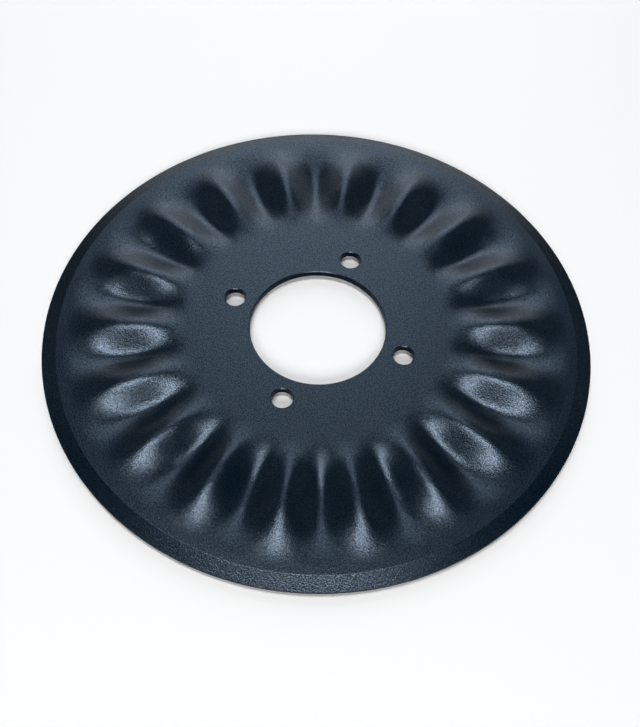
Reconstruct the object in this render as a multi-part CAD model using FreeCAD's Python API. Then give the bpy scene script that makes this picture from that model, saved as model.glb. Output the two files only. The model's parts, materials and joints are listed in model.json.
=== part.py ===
import FreeCAD, Part
import math
import os

# Fluted coulter disc: one round steel plate that a tillage hub carries upright and that rolls
# through the soil. A ring of radial waves is pressed into the plate between its flat hub and
# its flat rim, each wave a ridge on one face and a groove on the other. The rim is ground to a
# single bevel. The plate is pierced by one large pilot bore and a circle of bolt holes.
#
# Frame: millimetres, +Z along the disc's axis, towards the bevelled face. The origin is the
# centre of the pilot bore, half way through the plate. The first bolt hole lies on +X.

# The plate.
DISC_DIAMETER = 457.2
PLATE_THICKNESS = 6.35

# The hub's holes.
PILOT_BORE_DIAMETER = 114.3
BOLT_CIRCLE_DIAMETER = 152.4
BOLT_HOLE_DIAMETER = 17.5
BOLT_COUNT = 4
HOLE_EDGE_BREAK = 0.7

# The ground rim: the bevel, and the flat ring between it and the flutes.
BEVEL_WIDTH = 11.8
RIM_LAND = 2.8
RIM_FLAT_WIDTH = 6.4
RIM_EDGE_BREAK = 0.5

# The pressed flutes. Each rises over the first share of its length and fades over the last.
# FLUTE_DEPTH is a ridge's height over the flat plate, and a groove is as deep as a ridge is high.
# FLUTE_SHARPNESS is the share of a third harmonic, which straightens the flanks.
FLUTE_COUNT = 18
FLUTE_DEPTH = 5.35
FLUTE_SHARPNESS = 0.042
HUB_MARGIN = 32.1
RUN_IN_SHARE = 0.46
RUN_OUT_SHARE = 0.45
FLUTE_START_ANGLE = 2.8

# Control points that shape one wave, a closed cubic spline round the disc.
POINTS_PER_WAVE = 10

# Sizes that follow from those above.
rim_radius = DISC_DIAMETER / 2
top_z = PLATE_THICKNESS / 2
bottom_z = -PLATE_THICKNESS / 2
bevel_radius = rim_radius - BEVEL_WIDTH
bevel_foot_z = bottom_z + RIM_LAND
flute_start_radius = BOLT_CIRCLE_DIAMETER / 2 + HUB_MARGIN
flute_end_radius = bevel_radius - RIM_FLAT_WIDTH
flute_length = flute_end_radius - flute_start_radius
full_depth_start = flute_start_radius + RUN_IN_SHARE * flute_length
full_depth_end = flute_end_radius - RUN_OUT_SHARE * flute_length

AXIS = FreeCAD.Vector(0, 0, 1)
CENTRE = FreeCAD.Vector(0, 0, 0)


def at(radius, z):
    """The point of the radial half plane through +X at that radius and height."""
    return FreeCAD.Vector(radius, 0, z)


def pole_gain(points_per_turn):
    """How much further out a closed uniform cubic spline's poles lie than the wave it draws."""
    return 6 / (4 + 2 * math.cos(2 * math.pi / points_per_turn))


def ridge_and_groove(phase):
    """The poles' share of the flute depth at a phase of the wave: 1 at a ridge, -1 in a groove."""
    wave = pole_gain(POINTS_PER_WAVE) * math.cos(phase)
    sharpener = pole_gain(POINTS_PER_WAVE / 3) * math.cos(3 * phase)
    return (wave + FLUTE_SHARPNESS * sharpener) / (1 + FLUTE_SHARPNESS)


def third_points(start, end):
    """The two radii that split a stretch of the band into thirds."""
    step = (end - start) / 3
    return [start + step, end - step]


def fluted_face(plate_z):
    """The waved band of one side of the plate, as one closed spline surface at that height.

    Along a radius the poles stand at the stretch ends and thirds, at no depth or at full depth,
    so that each flute leaves and meets the flat plate level.
    """
    run_in = third_points(flute_start_radius, full_depth_start)
    full_depth = third_points(full_depth_start, full_depth_end)
    run_out = third_points(full_depth_end, flute_end_radius)
    radii = [flute_start_radius] + run_in + full_depth + run_out + [flute_end_radius]
    depths = [0, 0] + [FLUTE_DEPTH] * 4 + [0, 0]
    around = FLUTE_COUNT * POINTS_PER_WAVE
    reach = pole_gain(around)
    poles = []
    for i in range(around):
        turn = 2 * math.pi * i / around
        angle = math.radians(FLUTE_START_ANGLE) + turn
        wave = ridge_and_groove(FLUTE_COUNT * turn)
        x = reach * math.cos(angle)
        y = reach * math.sin(angle)
        row = [FreeCAD.Vector(r * x, r * y, plate_z + d * wave) for r, d in zip(radii, depths)]
        poles.append(row)
    surface = Part.BSplineSurface()
    surface.buildFromPolesMultsKnots(
        poles,
        [1] * (around + 1),
        [4, 2, 2, 4],
        list(range(around + 1)),
        [flute_start_radius, full_depth_start, full_depth_end, flute_end_radius],
        True,
        False,
        3,
        3,
    )
    return surface.toShape()


def ring_edges(face):
    """The band's closed inner and outer edges."""
    loops = [e for e in face.Edges if e.isClosed()]
    loops.sort(key=lambda e: e.BoundBox.XLength)
    return loops[0], loops[-1]


def plane_face(outer, *holes):
    """A flat face inside one closed edge and outside the others."""
    wires = [Part.Wire([edge]) for edge in (outer, *holes)]
    return Part.Face(wires, "Part::FaceMakerBullseye")


def turned_face(start, end):
    """The face that a straight line sweeps round the disc's axis."""
    return Part.makeLine(start, end).revolve(CENTRE, AXIS, 360)


def blank_plate():
    """The pressed and ground plate before its holes are punched."""
    break_radius = rim_radius - RIM_EDGE_BREAK
    upper, lower = fluted_face(top_z), fluted_face(bottom_z)
    upper_in, upper_out = ring_edges(upper)
    lower_in, lower_out = ring_edges(lower)
    bevel_edge = Part.Edge(Part.Circle(FreeCAD.Vector(0, 0, top_z), AXIS, bevel_radius))
    foot_edge = Part.Edge(Part.Circle(FreeCAD.Vector(0, 0, bottom_z), AXIS, break_radius))
    faces = [
        plane_face(upper_in),
        upper,
        plane_face(bevel_edge, upper_out),
        turned_face(at(bevel_radius, top_z), at(rim_radius, bevel_foot_z)),
        turned_face(at(rim_radius, bevel_foot_z), at(rim_radius, bottom_z + RIM_EDGE_BREAK)),
        turned_face(at(rim_radius, bottom_z + RIM_EDGE_BREAK), at(break_radius, bottom_z)),
        plane_face(foot_edge, lower_out),
        lower,
        plane_face(lower_in),
    ]
    shell = Part.makeShell(faces)
    shell.sewShape()
    solid = Part.makeSolid(shell)
    if solid.Volume < 0:
        solid.reverse()
    return solid


def punch(diameter):
    """The tool for one hole with broken edges: a waisted plug along the disc's axis."""
    radius = diameter / 2
    mouth = radius + HOLE_EDGE_BREAK
    proud = HOLE_EDGE_BREAK
    outline = [
        at(0, bottom_z - proud),
        at(mouth + proud, bottom_z - proud),
        at(radius, bottom_z + HOLE_EDGE_BREAK),
        at(radius, top_z - HOLE_EDGE_BREAK),
        at(mouth + proud, top_z + proud),
        at(0, top_z + proud),
    ]
    profile = Part.Face(Part.makePolygon(outline + outline[:1]))
    return profile.revolve(CENTRE, AXIS, 360)


def bolt_punches():
    """The bolt holes' tools, evenly spaced round the bolt circle."""
    tools = []
    for i in range(BOLT_COUNT):
        tool = punch(BOLT_HOLE_DIAMETER)
        tool.translate(at(BOLT_CIRCLE_DIAMETER / 2, 0))
        tool.rotate(CENTRE, AXIS, 360 * i / BOLT_COUNT)
        tools.append(tool)
    return tools


def coulter_disc():
    """The finished disc, one solid."""
    disc = blank_plate()
    for tool in [punch(PILOT_BORE_DIAMETER)] + bolt_punches():
        disc = disc.cut(tool)
    return disc.Solids[0]


disc = coulter_disc()
os.makedirs("parts", exist_ok=True)
disc.exportStep("parts/coulter_disc.step")
print("solid valid:", disc.isValid(), "volume cm3:", round(disc.Volume / 1000, 1))
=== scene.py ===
"""A fluted coulter disc: one steel blade with a textured blue-black coating, lying on a pale floor."""

import json
import math

import bmesh
import bpy
from mathutils import Matrix, Vector


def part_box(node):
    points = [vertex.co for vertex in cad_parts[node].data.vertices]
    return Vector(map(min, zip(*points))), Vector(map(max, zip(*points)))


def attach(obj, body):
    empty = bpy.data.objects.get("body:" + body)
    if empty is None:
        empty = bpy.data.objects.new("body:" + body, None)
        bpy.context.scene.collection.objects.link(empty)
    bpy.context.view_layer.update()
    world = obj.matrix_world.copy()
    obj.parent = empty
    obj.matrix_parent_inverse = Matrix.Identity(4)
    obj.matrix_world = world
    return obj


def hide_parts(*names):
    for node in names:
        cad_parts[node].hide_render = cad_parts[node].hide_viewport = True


bl_info = {
    "name": "Fluted Coulter Disc",
    "version": (1, 0, 0),
    "blender": (4, 5, 0),
    "location": "3D View > Sidebar > Coulter",
    "description": "Builds a pressed and coated coulter disc and a plain studio around it",
    "category": "Object",
}

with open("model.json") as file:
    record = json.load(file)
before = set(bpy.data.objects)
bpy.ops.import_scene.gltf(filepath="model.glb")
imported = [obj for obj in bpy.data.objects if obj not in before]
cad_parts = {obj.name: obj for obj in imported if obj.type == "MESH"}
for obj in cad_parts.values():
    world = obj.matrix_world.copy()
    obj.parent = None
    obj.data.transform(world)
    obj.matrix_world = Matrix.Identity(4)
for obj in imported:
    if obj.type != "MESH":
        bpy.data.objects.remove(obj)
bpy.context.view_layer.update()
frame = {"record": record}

MM = 0.001
NODE = "coulter_disc"
BODY = "root"

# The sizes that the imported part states.
MOUNTS = {mount["name"]: mount for mount in frame["record"]["mounts"]}
LOW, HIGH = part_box(NODE)
DISC_RADIUS = HIGH[0]
BORE_RADIUS = MOUNTS["pilot_bore"]["dims"]["r_mm"] * MM
BOLT_CIRCLE_RADIUS = MOUNTS["bolt_holes"]["dims"]["pcd_mm"] * MM / 2
BOLT_HOLE_RADIUS = MOUNTS["bolt_holes"]["dims"]["hole_r_mm"] * MM
BOLT_COUNT = MOUNTS["bolt_holes"]["dims"]["count"]
FACE_HEIGHT = MOUNTS["hub_seat_upper"]["pos_m"][2]
FLUTE_DEPTH = HIGH[2] - FACE_HEIGHT

# A ring of points this far into a flat keeps its shading flat.
FLAT_HOLD = 1.0 * MM

# The attribute that is 1 on the upright walls of the rim and of the holes, where the coating paints
# shade.
SHADED_WALL_MARK = "upright_wall"

# Mesh steps round a bolt hole.
HOLE_STEPS = 96

# A face whose normal rises or falls by less than this share is upright.
UPRIGHT_LIMIT = 0.3

# The floor's half width, and the distances from the disc over which it fades into the backdrop.
FLOOR_HALF_WIDTH = 6.0
FADE_START = 0.6
FADE_END = 1.2

# The backdrop is full up to the first height of the view direction, and gone at the second.
BACKDROP_FULL = 0.04
BACKDROP_GONE = 0.20

# The photograph's height, in pixels.
PHOTO_HEIGHT = 727


def srgb(hex_colour):
    """A colour written as sRGB hex, as linear red, green, blue and alpha."""
    channels = [int(hex_colour[i : i + 2], 16) / 255 for i in (1, 3, 5)]
    linear = [c / 12.92 if c <= 0.04045 else ((c + 0.055) / 1.055) ** 2.4 for c in channels]
    return (*linear, 1.0)


def node(tree, kind, inputs=None, **settings):
    """Adds a node with its settings, and fills its inputs with values or with links."""
    made = tree.nodes.new(kind)
    for name, value in settings.items():
        setattr(made, name, value)
    for key, value in (inputs or {}).items():
        if isinstance(value, bpy.types.NodeSocket):
            tree.links.new(value, made.inputs[key])
        else:
            made.inputs[key].default_value = value
    return made


def show(name, mesh, material=None):
    """Puts a mesh in the scene as an object of that name."""
    shown = bpy.data.objects.new(name, mesh)
    bpy.context.scene.collection.objects.link(shown)
    if material:
        mesh.materials.append(material)
    return shown


class CoulterDiscSizes(bpy.types.PropertyGroup):
    """Sizes and colours of the disc."""

    bevel_width: bpy.props.FloatProperty(
        name="Bevel Width",
        description="Width of the ground bevel, along the disc's radius",
        default=11.8 * MM,
        unit="LENGTH",
    )
    rim_land: bpy.props.FloatProperty(
        name="Rim Land",
        description="Height of the upright edge under the bevel",
        default=2.8 * MM,
        unit="LENGTH",
    )
    edge_rounding: bpy.props.FloatProperty(
        name="Edge Rounding",
        description="Radius that the coating leaves on the rim's edges",
        default=0.25 * MM,
        unit="LENGTH",
    )
    bevel_rounding: bpy.props.FloatProperty(
        name="Bevel Rounding",
        description="Radius where the bevel meets the flat rim",
        default=1.2 * MM,
        unit="LENGTH",
    )
    hole_break: bpy.props.FloatProperty(
        name="Hole Edge Break",
        description="Width of the slanted break at the mouths of the bore and the bolt holes",
        default=0.7 * MM,
        unit="LENGTH",
    )
    flute_count: bpy.props.IntProperty(
        name="Flutes",
        description="Ridges round the upper face",
        default=18,
    )
    flute_start: bpy.props.FloatProperty(
        name="Flute Start",
        description="Radius at which the flutes leave the flat hub",
        default=108.3 * MM,
        unit="LENGTH",
    )
    flute_end: bpy.props.FloatProperty(
        name="Flute End",
        description="Radius at which the flutes have faded into the flat rim",
        default=210.4 * MM,
        unit="LENGTH",
    )
    run_in: bpy.props.FloatProperty(
        name="Run In",
        description="Share of a flute's length over which it rises",
        default=0.46,
        subtype="FACTOR",
        min=0.0,
        max=1.0,
    )
    run_out: bpy.props.FloatProperty(
        name="Run Out",
        description="Share of a flute's length over which it fades",
        default=0.45,
        subtype="FACTOR",
        min=0.0,
        max=1.0,
    )
    first_ridge: bpy.props.FloatProperty(
        name="First Ridge",
        description="Turn from the first bolt hole to the first ridge",
        default=math.radians(2.8),
        subtype="ANGLE",
    )
    flute_sharpness: bpy.props.FloatProperty(
        name="Flute Sharpness",
        description="Share of a third harmonic in the wave, which straightens the flanks",
        default=0.042,
        subtype="FACTOR",
        min=0.0,
        max=0.3,
    )
    steps_around: bpy.props.IntProperty(
        name="Steps Around",
        description="Mesh steps round the disc",
        default=792,
    )
    band_rings: bpy.props.IntProperty(
        name="Band Rings",
        description="Mesh rings across the fluted band",
        default=36,
    )
    coating_colour: bpy.props.FloatVectorProperty(
        name="Coating Colour",
        description="Colour of the blue-black coating",
        default=srgb("#000E19"),
        size=4,
        subtype="COLOR",
        min=0.0,
        max=1.0,
    )


class CoulterStageSizes(bpy.types.PropertyGroup):
    """Sizes and colours of the studio."""

    camera_distance: bpy.props.FloatProperty(
        name="Camera Distance",
        description="Distance from the camera to the centre of the disc's upper face",
        default=783.5 * MM,
        unit="LENGTH",
    )
    camera_elevation: bpy.props.FloatProperty(
        name="Camera Elevation",
        description="Height of the camera over the floor, as an angle at the disc's centre",
        default=math.radians(55.33),
        subtype="ANGLE",
    )
    camera_azimuth: bpy.props.FloatProperty(
        name="Camera Azimuth",
        description="Turn of the camera round the disc, from the side that faces -Y",
        default=math.radians(20.13),
        subtype="ANGLE",
    )
    camera_roll: bpy.props.FloatProperty(
        name="Camera Roll",
        description="Turn of the camera about its own line of sight",
        default=math.radians(-2.30),
        subtype="ANGLE",
    )
    camera_tilt: bpy.props.FloatProperty(
        name="Camera Tilt",
        description="Upward turn of the camera away from the disc's centre",
        default=math.radians(-2.32),
        subtype="ANGLE",
    )
    camera_pan: bpy.props.FloatProperty(
        name="Camera Pan",
        description="Sideways turn of the camera away from the disc's centre",
        default=math.radians(-0.22),
        subtype="ANGLE",
    )
    focal_pixels: bpy.props.FloatProperty(
        name="Focal Length in Pixels",
        description="The lens's focal length, in pixels of the photograph",
        default=932.7,
    )
    floor_colour: bpy.props.FloatVectorProperty(
        name="Floor Colour",
        description="Colour of the plain floor",
        default=srgb("#FAFAFA"),
        size=4,
        subtype="COLOR",
        min=0.0,
        max=1.0,
    )
    sky_level: bpy.props.FloatProperty(
        name="Room Brightness",
        description="Brightness of the room above the backdrop, where 1 is white",
        default=0.02,
    )
    horizon_level: bpy.props.FloatProperty(
        name="Backdrop Brightness",
        description="Brightness of the pale backdrop round the floor, where 1 is white",
        default=0.95,
    )
    lamp_level: bpy.props.FloatProperty(
        name="Overhead Brightness",
        description="Brightness of the overhead softbox's face, where 1 is white",
        default=19.4,
    )
    fill_level: bpy.props.FloatProperty(
        name="Front Fill Brightness",
        description="Brightness of the front fill's face, where 1 is white",
        default=9.9,
    )
    back_level: bpy.props.FloatProperty(
        name="Back Fill Brightness",
        description="Brightness of the back fill's face, where 1 is white",
        default=1.82,
    )
    back_panel_level: bpy.props.FloatProperty(
        name="Back Panel Brightness",
        description="Brightness of the low panel close behind the disc, where 1 is white",
        default=0.65,
    )
    side_panel_level: bpy.props.FloatProperty(
        name="Side Panel Brightness",
        description="Brightness of the panels at the left and right, where 1 is white",
        default=0.2,
    )


def rounded(before, corner, after, radius, steps):
    """Points that round a corner, with a point on each side that keeps the flats beyond it flat."""
    towards_before = (before - corner).normalized()
    towards_after = (after - corner).normalized()
    half_angle = towards_before.angle(towards_after) / 2
    reach = radius / math.tan(half_angle)
    start = corner + towards_before * reach
    centre = corner + (towards_before + towards_after).normalized() * (radius / math.sin(half_angle))
    sweep = math.pi - 2 * half_angle
    spin = math.copysign(sweep, (start - centre).cross(corner - centre))
    arc = []
    for i in range(steps + 1):
        turn = Matrix.Rotation(spin * i / steps, 2)
        arc.append(centre + turn @ (start - centre))
    hold = min(reach, FLAT_HOLD)
    return [start + towards_before * hold] + arc + [arc[-1] + towards_after * hold]


def disc_section(sizes):
    """The closed outline of the blade cut along a radius, as (radius, height) points.

    Each corner has a rounding and its number of steps, and one step makes a flat break.
    """
    top, bottom = FACE_HEIGHT, -FACE_HEIGHT
    bevel_start = DISC_RADIUS - sizes.bevel_width
    bevel_foot = bottom + sizes.rim_land
    edge = sizes.edge_rounding
    corners = [
        (BORE_RADIUS, top, sizes.hole_break, 1),
        (bevel_start, top, sizes.bevel_rounding, 4),
        (DISC_RADIUS, bevel_foot, edge, 4),
        (DISC_RADIUS, bottom, edge, 5),
        (BORE_RADIUS, bottom, sizes.hole_break, 1),
    ]
    points = [Vector(corner[:2]) for corner in corners]
    rings = sizes.band_rings
    length = sizes.flute_end - sizes.flute_start
    band = [sizes.flute_start + length * i / rings for i in range(rings + 1)]
    band = [band[0] - FLAT_HOLD] + band + [band[-1] + FLAT_HOLD]
    outline = []
    for i, (radius, height, rounding, steps) in enumerate(corners):
        before, after = points[i - 1], points[(i + 1) % len(points)]
        if i == 1:
            outline += [Vector((r, top)) for r in band]
        if i == 4:
            outline += [Vector((r, bottom)) for r in reversed(band)]
        outline += rounded(before, points[i], after, rounding, steps)
    return outline


def section_mesh(outline):
    """A closed outline drawn in the XY plane."""
    mesh = bpy.data.meshes.new("Disc Section")
    count = len(outline)
    mesh.from_pydata([(*p, 0) for p in outline], [(i, (i + 1) % count) for i in range(count)], [])
    return mesh


def hole_tool(sizes):
    """The solid that a bolt hole takes out of the plate, wider at both mouths."""
    proud = sizes.hole_break
    wide = BOLT_HOLE_RADIUS + 2 * sizes.hole_break
    profile = [
        (wide, FACE_HEIGHT + proud),
        (BOLT_HOLE_RADIUS, FACE_HEIGHT - sizes.hole_break),
        (BOLT_HOLE_RADIUS, sizes.hole_break - FACE_HEIGHT),
        (wide, -FACE_HEIGHT - proud),
    ]
    turns = [2 * math.pi * i / HOLE_STEPS for i in range(HOLE_STEPS)]
    shape = bmesh.new()
    rings = []
    for radius, height in profile:
        circle = [(radius * math.cos(t), radius * math.sin(t), height) for t in turns]
        rings.append([shape.verts.new(place) for place in circle])
    shape.faces.new(rings[0])
    shape.faces.new(reversed(rings[-1]))
    for upper, lower in zip(rings, rings[1:]):
        for i in range(HOLE_STEPS):
            j = (i + 1) % HOLE_STEPS
            shape.faces.new((upper[j], upper[i], lower[i], lower[j]))
    mesh = bpy.data.meshes.new("Bolt Hole Tool")
    shape.to_mesh(mesh)
    shape.free()
    return show("Bolt Hole Tool", mesh)


def pressed_disc_tree():
    """Geometry Nodes that turn a section into a disc, press the flutes and punch the holes."""
    tree = bpy.data.node_groups.new("Pressed Disc", "GeometryNodeTree")
    face = tree.interface
    face.new_socket("Section", in_out="INPUT", socket_type="NodeSocketGeometry")
    for name, kind in (
        ("Disc Radius", "NodeSocketFloat"),
        ("Steps Around", "NodeSocketInt"),
        ("Flutes", "NodeSocketInt"),
        ("Flute Depth", "NodeSocketFloat"),
        ("Flute Sharpness", "NodeSocketFloat"),
        ("Flute Start", "NodeSocketFloat"),
        ("Full Depth Start", "NodeSocketFloat"),
        ("Full Depth End", "NodeSocketFloat"),
        ("Flute End", "NodeSocketFloat"),
        ("First Ridge", "NodeSocketFloat"),
        ("Bolt Holes", "NodeSocketInt"),
        ("Bolt Circle Radius", "NodeSocketFloat"),
        ("Hole Tool", "NodeSocketObject"),
        ("Coating", "NodeSocketMaterial"),
    ):
        face.new_socket(name, in_out="INPUT", socket_type=kind)
    face.new_socket("Geometry", in_out="OUTPUT", socket_type="NodeSocketGeometry")
    given = node(tree, "NodeGroupInput").outputs

    # The section, drawn as radius and height, is swept round a circle of the disc's own radius.
    inwards = node(tree, "ShaderNodeMath", {0: given["Disc Radius"], 1: -1.0}, operation="MULTIPLY")
    offset = node(tree, "ShaderNodeCombineXYZ", {"X": inwards.outputs[0]})
    placed = node(
        tree,
        "GeometryNodeTransform",
        {"Geometry": given["Section"], "Translation": offset.outputs[0]},
    )
    turned_over = node(
        tree,
        "GeometryNodeTransform",
        {"Geometry": placed.outputs[0], "Rotation": (math.pi, 0.0, 0.0)},
    )
    profile = node(tree, "GeometryNodeMeshToCurve", {"Mesh": turned_over.outputs[0]})
    path = node(
        tree,
        "GeometryNodeCurvePrimitiveCircle",
        {"Resolution": given["Steps Around"], "Radius": given["Disc Radius"]},
    )
    upright = node(tree, "GeometryNodeSetCurveNormal", {"Curve": path.outputs[0]}, mode="Z_UP")
    turned = node(
        tree,
        "GeometryNodeCurveToMesh",
        {"Curve": upright.outputs[0], "Profile Curve": profile.outputs[0]},
    )

    # Every point of both faces moves along the axis by the same wave, so the plate keeps its wall.
    place = node(tree, "GeometryNodeInputPosition").outputs[0]
    axes = node(tree, "ShaderNodeSeparateXYZ", {0: place}).outputs
    flat_place = node(tree, "ShaderNodeCombineXYZ", {"X": axes[0], "Y": axes[1]})
    radius = node(tree, "ShaderNodeVectorMath", {0: flat_place.outputs[0]}, operation="LENGTH")
    rise = node(
        tree,
        "ShaderNodeMapRange",
        {"Value": radius.outputs["Value"], 1: given["Flute Start"], 2: given["Full Depth Start"]},
        interpolation_type="SMOOTHSTEP",
    )
    fall = node(
        tree,
        "ShaderNodeMapRange",
        {
            "Value": radius.outputs["Value"],
            1: given["Full Depth End"],
            2: given["Flute End"],
            3: 1.0,
            4: 0.0,
        },
        interpolation_type="SMOOTHSTEP",
    )
    angle = node(tree, "ShaderNodeMath", {0: axes[1], 1: axes[0]}, operation="ARCTAN2")
    from_ridge = node(
        tree, "ShaderNodeMath", {0: angle.outputs[0], 1: given["First Ridge"]}, operation="SUBTRACT"
    )
    phase = node(
        tree, "ShaderNodeMath", {0: from_ridge.outputs[0], 1: given["Flutes"]}, operation="MULTIPLY"
    )
    swing = node(tree, "ShaderNodeMath", {0: phase.outputs[0]}, operation="COSINE")
    third_phase = node(tree, "ShaderNodeMath", {0: phase.outputs[0], 1: 3.0}, operation="MULTIPLY")
    third = node(tree, "ShaderNodeMath", {0: third_phase.outputs[0]}, operation="COSINE")
    sharpened = node(
        tree,
        "ShaderNodeMath",
        {0: third.outputs[0], 1: given["Flute Sharpness"], 2: swing.outputs[0]},
        operation="MULTIPLY_ADD",
    )
    crest = node(tree, "ShaderNodeMath", {0: given["Flute Sharpness"], 1: 1.0}, operation="ADD")
    wave = node(
        tree, "ShaderNodeMath", {0: sharpened.outputs[0], 1: crest.outputs[0]}, operation="DIVIDE"
    )
    window = node(
        tree, "ShaderNodeMath", {0: rise.outputs[0], 1: fall.outputs[0]}, operation="MULTIPLY"
    )
    shape = node(
        tree, "ShaderNodeMath", {0: wave.outputs[0], 1: window.outputs[0]}, operation="MULTIPLY"
    )
    lift = node(
        tree, "ShaderNodeMath", {0: shape.outputs[0], 1: given["Flute Depth"]}, operation="MULTIPLY"
    )
    along_axis = node(tree, "ShaderNodeCombineXYZ", {"Z": lift.outputs[0]})
    pressed = node(
        tree,
        "GeometryNodeSetPosition",
        {"Geometry": turned.outputs[0], "Offset": along_axis.outputs[0]},
    )

    # The bolt holes.
    hole_circle = node(
        tree,
        "GeometryNodeMeshCircle",
        {"Vertices": given["Bolt Holes"], "Radius": given["Bolt Circle Radius"]},
    )
    tool = node(tree, "GeometryNodeObjectInfo", {"Object": given["Hole Tool"]})
    tools = node(
        tree,
        "GeometryNodeInstanceOnPoints",
        {"Points": hole_circle.outputs[0], "Instance": tool.outputs["Geometry"]},
    )
    real_tools = node(tree, "GeometryNodeRealizeInstances", {"Geometry": tools.outputs[0]})
    punched = node(
        tree,
        "GeometryNodeMeshBoolean",
        {"Mesh 1": pressed.outputs[0], "Mesh 2": real_tools.outputs[0]},
        operation="DIFFERENCE",
        solver="EXACT",
    )

    # Edges that bend by more than 30 degrees stay crisp.
    smooth = node(tree, "GeometryNodeSetShadeSmooth", {"Geometry": punched.outputs[0]}, domain="FACE")
    bend = node(tree, "GeometryNodeInputMeshEdgeAngle")
    sharp = node(
        tree,
        "FunctionNodeCompare",
        {0: bend.outputs["Unsigned Angle"], 1: math.radians(30)},
        data_type="FLOAT",
        operation="GREATER_THAN",
    )
    crisp = node(
        tree,
        "GeometryNodeSetShadeSmooth",
        {"Geometry": smooth.outputs[0], "Selection": sharp.outputs[0], "Shade Smooth": False},
        domain="EDGE",
    )

    # Upright faces, which are the walls of the rim and of the holes, are marked so that the coating
    # paints shade on them.
    facing = node(tree, "GeometryNodeInputNormal").outputs[0]
    upwards = node(tree, "ShaderNodeSeparateXYZ", {0: facing}).outputs["Z"]
    levelness = node(tree, "ShaderNodeMath", {0: upwards}, operation="ABSOLUTE")
    upright = node(
        tree,
        "FunctionNodeCompare",
        {0: levelness.outputs[0], 1: UPRIGHT_LIMIT},
        data_type="FLOAT",
        operation="LESS_THAN",
    )
    marked = node(
        tree,
        "GeometryNodeStoreNamedAttribute",
        {"Geometry": crisp.outputs[0], "Name": SHADED_WALL_MARK, "Value": upright.outputs[0]},
        data_type="FLOAT",
        domain="FACE",
    )
    real = node(tree, "GeometryNodeRealizeInstances", {"Geometry": marked.outputs[0]})
    coated = node(
        tree, "GeometryNodeSetMaterial", {"Geometry": real.outputs[0], "Material": given["Coating"]}
    )
    node(tree, "NodeGroupOutput", {0: coated.outputs[0]})
    return tree


def plain_mesh(shown):
    """Turns an object's evaluated shape into its own plain mesh and removes its modifiers."""
    graph = bpy.context.evaluated_depsgraph_get()
    mesh = bpy.data.meshes.new_from_object(shown.evaluated_get(graph), depsgraph=graph)
    shown.modifiers.clear()
    shown.data = mesh
    return mesh


def textured_coating(colour):
    """Fine textured powder coating, cured on steel.

    A satin film with a sandy grain: it breaks a reflection into tiny bright specks. On the upright
    walls its reflection is turned almost off, which paints shade there.
    """
    material = bpy.data.materials.new("Textured Powder Coating")
    material.use_nodes = True
    tree = material.node_tree
    tree.nodes.clear()
    place = node(tree, "ShaderNodeTexCoord").outputs["Object"]

    # The grain is about 0.6 mm from crest to crest, and is drawn twice as coarse so that it shows.
    grain_size = 1.1 * MM
    grain = node(
        tree,
        "ShaderNodeTexNoise",
        {"Vector": place, "Scale": 1 / grain_size, "Detail": 1.0, "Roughness": 0.6},
    )
    bump = node(
        tree,
        "ShaderNodeBump",
        {"Height": grain.outputs[0], "Strength": 1.0, "Distance": 0.16 * MM},
    )

    # Crests shine and the pits between them are dull, which gives the film its fine sparkle.
    shine = node(
        tree,
        "ShaderNodeMapRange",
        {"Value": grain.outputs[0], 1: 0.3, 2: 0.7, 3: 0.20, 4: 0.80},
    )

    # Painted shade: on the walls of the rim and of the holes the reflection is turned almost off, which
    # keeps them black.
    painted_shade_walls = node(tree, "ShaderNodeAttribute", attribute_name=SHADED_WALL_MARK).outputs["Fac"]
    shine_and_painted_wall_shade = node(tree, "ShaderNodeMapRange", {"Value": painted_shade_walls, 3: shine.outputs[0], 4: 0.02})
    coat = node(
        tree,
        "ShaderNodeBsdfPrincipled",
        {
            "Base Color": colour,
            "Metallic": 0.0,
            "IOR": 1.6,
            "Roughness": 0.275,
            "Specular IOR Level": shine_and_painted_wall_shade.outputs[0],
            "Specular Tint": srgb("#CEE5FF"),
            "Normal": bump.outputs[0],
        },
    )
    node(tree, "ShaderNodeOutputMaterial", {"Surface": coat.outputs[0]})
    return material


class COULTER_OT_add_disc(bpy.types.Operator):
    """Builds the pressed, bevelled and coated disc."""

    bl_idname = "coulter.add_disc"
    bl_label = "Coulter Disc"

    def execute(self, context):
        sizes = context.scene.coulter_disc_sizes
        coating = textured_coating(tuple(sizes.coating_colour))
        disc = show("Coated_Disc", section_mesh(disc_section(sizes)))
        tool = hole_tool(sizes)
        length = sizes.flute_end - sizes.flute_start
        tree = pressed_disc_tree()
        pressing = disc.modifiers.new("Pressed Disc", "NODES")
        pressing.node_group = tree
        values = {
            "Disc Radius": DISC_RADIUS,
            "Steps Around": sizes.steps_around,
            "Flutes": sizes.flute_count,
            "Flute Depth": FLUTE_DEPTH,
            "Flute Sharpness": sizes.flute_sharpness,
            "Flute Start": sizes.flute_start,
            "Full Depth Start": sizes.flute_start + sizes.run_in * length,
            "Full Depth End": sizes.flute_end - sizes.run_out * length,
            "Flute End": sizes.flute_end,
            "First Ridge": sizes.first_ridge,
            "Bolt Holes": BOLT_COUNT,
            "Bolt Circle Radius": BOLT_CIRCLE_RADIUS,
            "Hole Tool": tool,
            "Coating": coating,
        }
        sockets = {item.name: item.identifier for item in tree.interface.items_tree}
        for name, value in values.items():
            pressing[sockets[name]] = value
        mesh = plain_mesh(disc)
        bpy.data.objects.remove(tool)
        if not mesh.polygons:
            raise RuntimeError("the pressed disc came out empty")
        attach(disc, BODY)
        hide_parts(NODE)
        return {"FINISHED"}


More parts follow.
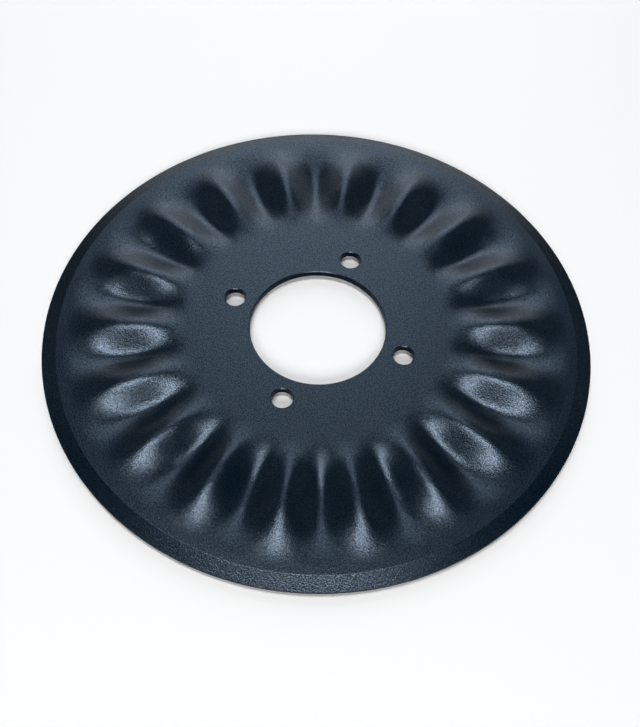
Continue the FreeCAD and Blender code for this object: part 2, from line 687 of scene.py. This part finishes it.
def camera_matrix(sizes):
    """The camera's place and turn, from its distance and angles about the disc's upper face."""
    elevation, azimuth = sizes.camera_elevation, sizes.camera_azimuth
    around = Matrix.Rotation(azimuth, 3, "Z")
    offset = around @ Vector((0, -math.cos(elevation), math.sin(elevation)))
    ahead = -offset
    right = around @ Vector((1, 0, 0))
    up = right.cross(ahead)
    level = Matrix((right, up, ahead))
    pan, tilt, roll = sizes.camera_pan, sizes.camera_tilt, sizes.camera_roll
    turned = (
        Matrix(((math.cos(roll), -math.sin(roll), 0), (math.sin(roll), math.cos(roll), 0), (0, 0, 1)))
        @ Matrix(((1, 0, 0), (0, math.cos(tilt), -math.sin(tilt)), (0, math.sin(tilt), math.cos(tilt))))
        @ Matrix(((math.cos(pan), 0, math.sin(pan)), (0, 1, 0), (-math.sin(pan), 0, math.cos(pan))))
        @ level
    )
    axes = Matrix((turned[0], turned[1], -turned[2])).transposed()
    place = offset * sizes.camera_distance + Vector((0, 0, FACE_HEIGHT))
    return Matrix.Translation(place) @ axes.to_4x4()


def floor_material(colour, backdrop_level):
    """Matt white studio floor: an even pale surface that only takes the disc's shadow.

    Far from the disc it fades into the backdrop's brightness, so that its edge doesn't show.
    """
    material = bpy.data.materials.new("Matt Studio Floor")
    material.use_nodes = True
    tree = material.node_tree
    tree.nodes.clear()
    paint = node(tree, "ShaderNodeBsdfDiffuse", {"Color": colour})
    backdrop = node(tree, "ShaderNodeEmission", {"Color": (1, 1, 1, 1), "Strength": backdrop_level})

    place = node(tree, "ShaderNodeTexCoord").outputs["Object"]
    distance = node(tree, "ShaderNodeVectorMath", {0: place}, operation="LENGTH")
    far = node(
        tree,
        "ShaderNodeMapRange",
        {"Value": distance.outputs["Value"], 1: FADE_START, 2: FADE_END},
        interpolation_type="SMOOTHSTEP",
    )
    path = node(tree, "ShaderNodeLightPath").outputs
    seen = node(tree, "ShaderNodeMath", {0: path["Is Camera Ray"], 1: path["Is Glossy Ray"]})
    seen_at_all = node(
        tree, "ShaderNodeMath", {0: seen.outputs[0], 1: path["Is Transmission Ray"]}, use_clamp=True
    )
    amount = node(
        tree, "ShaderNodeMath", {0: far.outputs[0], 1: seen_at_all.outputs[0]}, operation="MULTIPLY"
    )
    faded = node(
        tree,
        "ShaderNodeMixShader",
        {0: amount.outputs[0], 1: paint.outputs[0], 2: backdrop.outputs[0]},
    )
    node(tree, "ShaderNodeOutputMaterial", {"Surface": faded.outputs[0]})
    return material


def softbox(name, place, width, height, brightness, colour="#FFFFFF"):
    """A softbox at a place seen from the camera's side, facing the disc's centre.

    Its energy gives its face the brightness asked for, where 1 is white.
    """
    lamp = bpy.data.lights.new(name, "AREA")
    lamp.shape = "RECTANGLE"
    lamp.size = width
    lamp.size_y = height
    lamp.energy = brightness * math.pi * width * height
    lamp.color = srgb(colour)[:3]
    shown = bpy.data.objects.new(name, lamp)
    shown.visible_camera = False
    place = Vector(place)
    facing_disc = place.to_track_quat("Z", "Y").to_matrix().to_4x4()
    shown.matrix_world = Matrix.Translation(place) @ facing_disc
    return shown


def studio_lamps(sizes):
    """A bright softbox overhead, fills in front and behind, and faint panels close to the disc.

    The back fill is slightly cool, which keeps the hub and the rim blue beside the highlights.
    """
    panel = sizes.side_panel_level
    return [
        softbox("Overhead_Softbox", (-0.07, -0.23, 2.29), 1.12, 0.41, sizes.lamp_level),
        softbox("Front_Fill", (0.0, -2.87, 2.01), 1.8, 1.2, sizes.fill_level),
        softbox("Back_Fill", (-0.04, 1.72, 1.52), 1.22, 1.95, sizes.back_level, "#EEF7FF"),
        softbox("Back_Panel", (0.0, 0.95, 0.35), 1.2, 0.5, sizes.back_panel_level),
        softbox("Left_Panel", (-0.95, 0.5, 0.8), 0.6, 0.5, panel),
        softbox("Right_Panel", (0.95, 0.5, 0.8), 0.6, 0.5, panel),
    ]


class COULTER_OT_add_stage(bpy.types.Operator):
    """Adds the plain floor, the soft light and the camera."""

    bl_idname = "coulter.add_stage"
    bl_label = "Studio"

    def execute(self, context):
        scene = context.scene
        sizes = scene.coulter_stage_sizes
        around = Matrix.Rotation(sizes.camera_azimuth, 4, "Z")

        reach = FLOOR_HALF_WIDTH
        corners = [(-reach, -reach), (reach, -reach), (reach, reach), (-reach, reach)]
        mesh = bpy.data.meshes.new("Floor")
        mesh.from_pydata([(*corner, LOW[2]) for corner in corners], [], [(0, 1, 2, 3)])
        paint = floor_material(tuple(sizes.floor_colour), sizes.horizon_level)
        floor = show("Floor", mesh, paint)

        for lamp in studio_lamps(sizes):
            lamp.matrix_world = around @ lamp.matrix_world
            scene.collection.objects.link(lamp)

        world = bpy.data.worlds.new("Studio")
        world.use_nodes = True
        tree = world.node_tree
        tree.nodes.clear()
        direction = node(tree, "ShaderNodeTexCoord").outputs["Generated"]
        height = node(tree, "ShaderNodeSeparateXYZ", {0: direction}).outputs["Z"]
        level = node(
            tree,
            "ShaderNodeMapRange",
            {
                "Value": height,
                1: BACKDROP_FULL,
                2: BACKDROP_GONE,
                3: sizes.horizon_level,
                4: sizes.sky_level,
            },
            interpolation_type="SMOOTHSTEP",
        )
        room = node(tree, "ShaderNodeBackground", {"Color": (1, 1, 1, 1), "Strength": level.outputs[0]})
        node(tree, "ShaderNodeOutputWorld", {"Surface": room.outputs[0]})
        scene.world = world

        lens = bpy.data.cameras.new("Camera")
        lens.sensor_width = 36
        lens.lens = sizes.focal_pixels * lens.sensor_width / PHOTO_HEIGHT
        lens.clip_start = 0.01
        camera = bpy.data.objects.new("Camera", lens)
        camera.matrix_world = camera_matrix(sizes)
        scene.collection.objects.link(camera)
        scene.camera = camera
        scene.view_settings.view_transform = "Standard"
        return {"FINISHED"}


class COULTER_PT_panel(bpy.types.Panel):
    """Lists what the disc and its studio are made from."""

    bl_idname = "COULTER_PT_panel"
    bl_label = "Fluted Coulter Disc"
    bl_space_type = "VIEW_3D"
    bl_region_type = "UI"
    bl_category = "Coulter"

    def draw(self, context):
        for operator, sizes in (
            (COULTER_OT_add_disc, context.scene.coulter_disc_sizes),
            (COULTER_OT_add_stage, context.scene.coulter_stage_sizes),
        ):
            box = self.layout.box()
            box.operator(operator.bl_idname)
            for name in sizes.__annotations__:
                box.prop(sizes, name)


CLASSES = (
    CoulterDiscSizes,
    CoulterStageSizes,
    COULTER_OT_add_disc,
    COULTER_OT_add_stage,
    COULTER_PT_panel,
)


def register():
    for made in CLASSES:
        bpy.utils.register_class(made)
    bpy.types.Scene.coulter_disc_sizes = bpy.props.PointerProperty(type=CoulterDiscSizes)
    bpy.types.Scene.coulter_stage_sizes = bpy.props.PointerProperty(type=CoulterStageSizes)


def unregister():
    del bpy.types.Scene.coulter_stage_sizes
    del bpy.types.Scene.coulter_disc_sizes
    for made in reversed(CLASSES):
        bpy.utils.unregister_class(made)


def main():
    register()
    bpy.ops.coulter.add_disc()
    bpy.ops.coulter.add_stage()


if __name__ == "__main__":
    main()
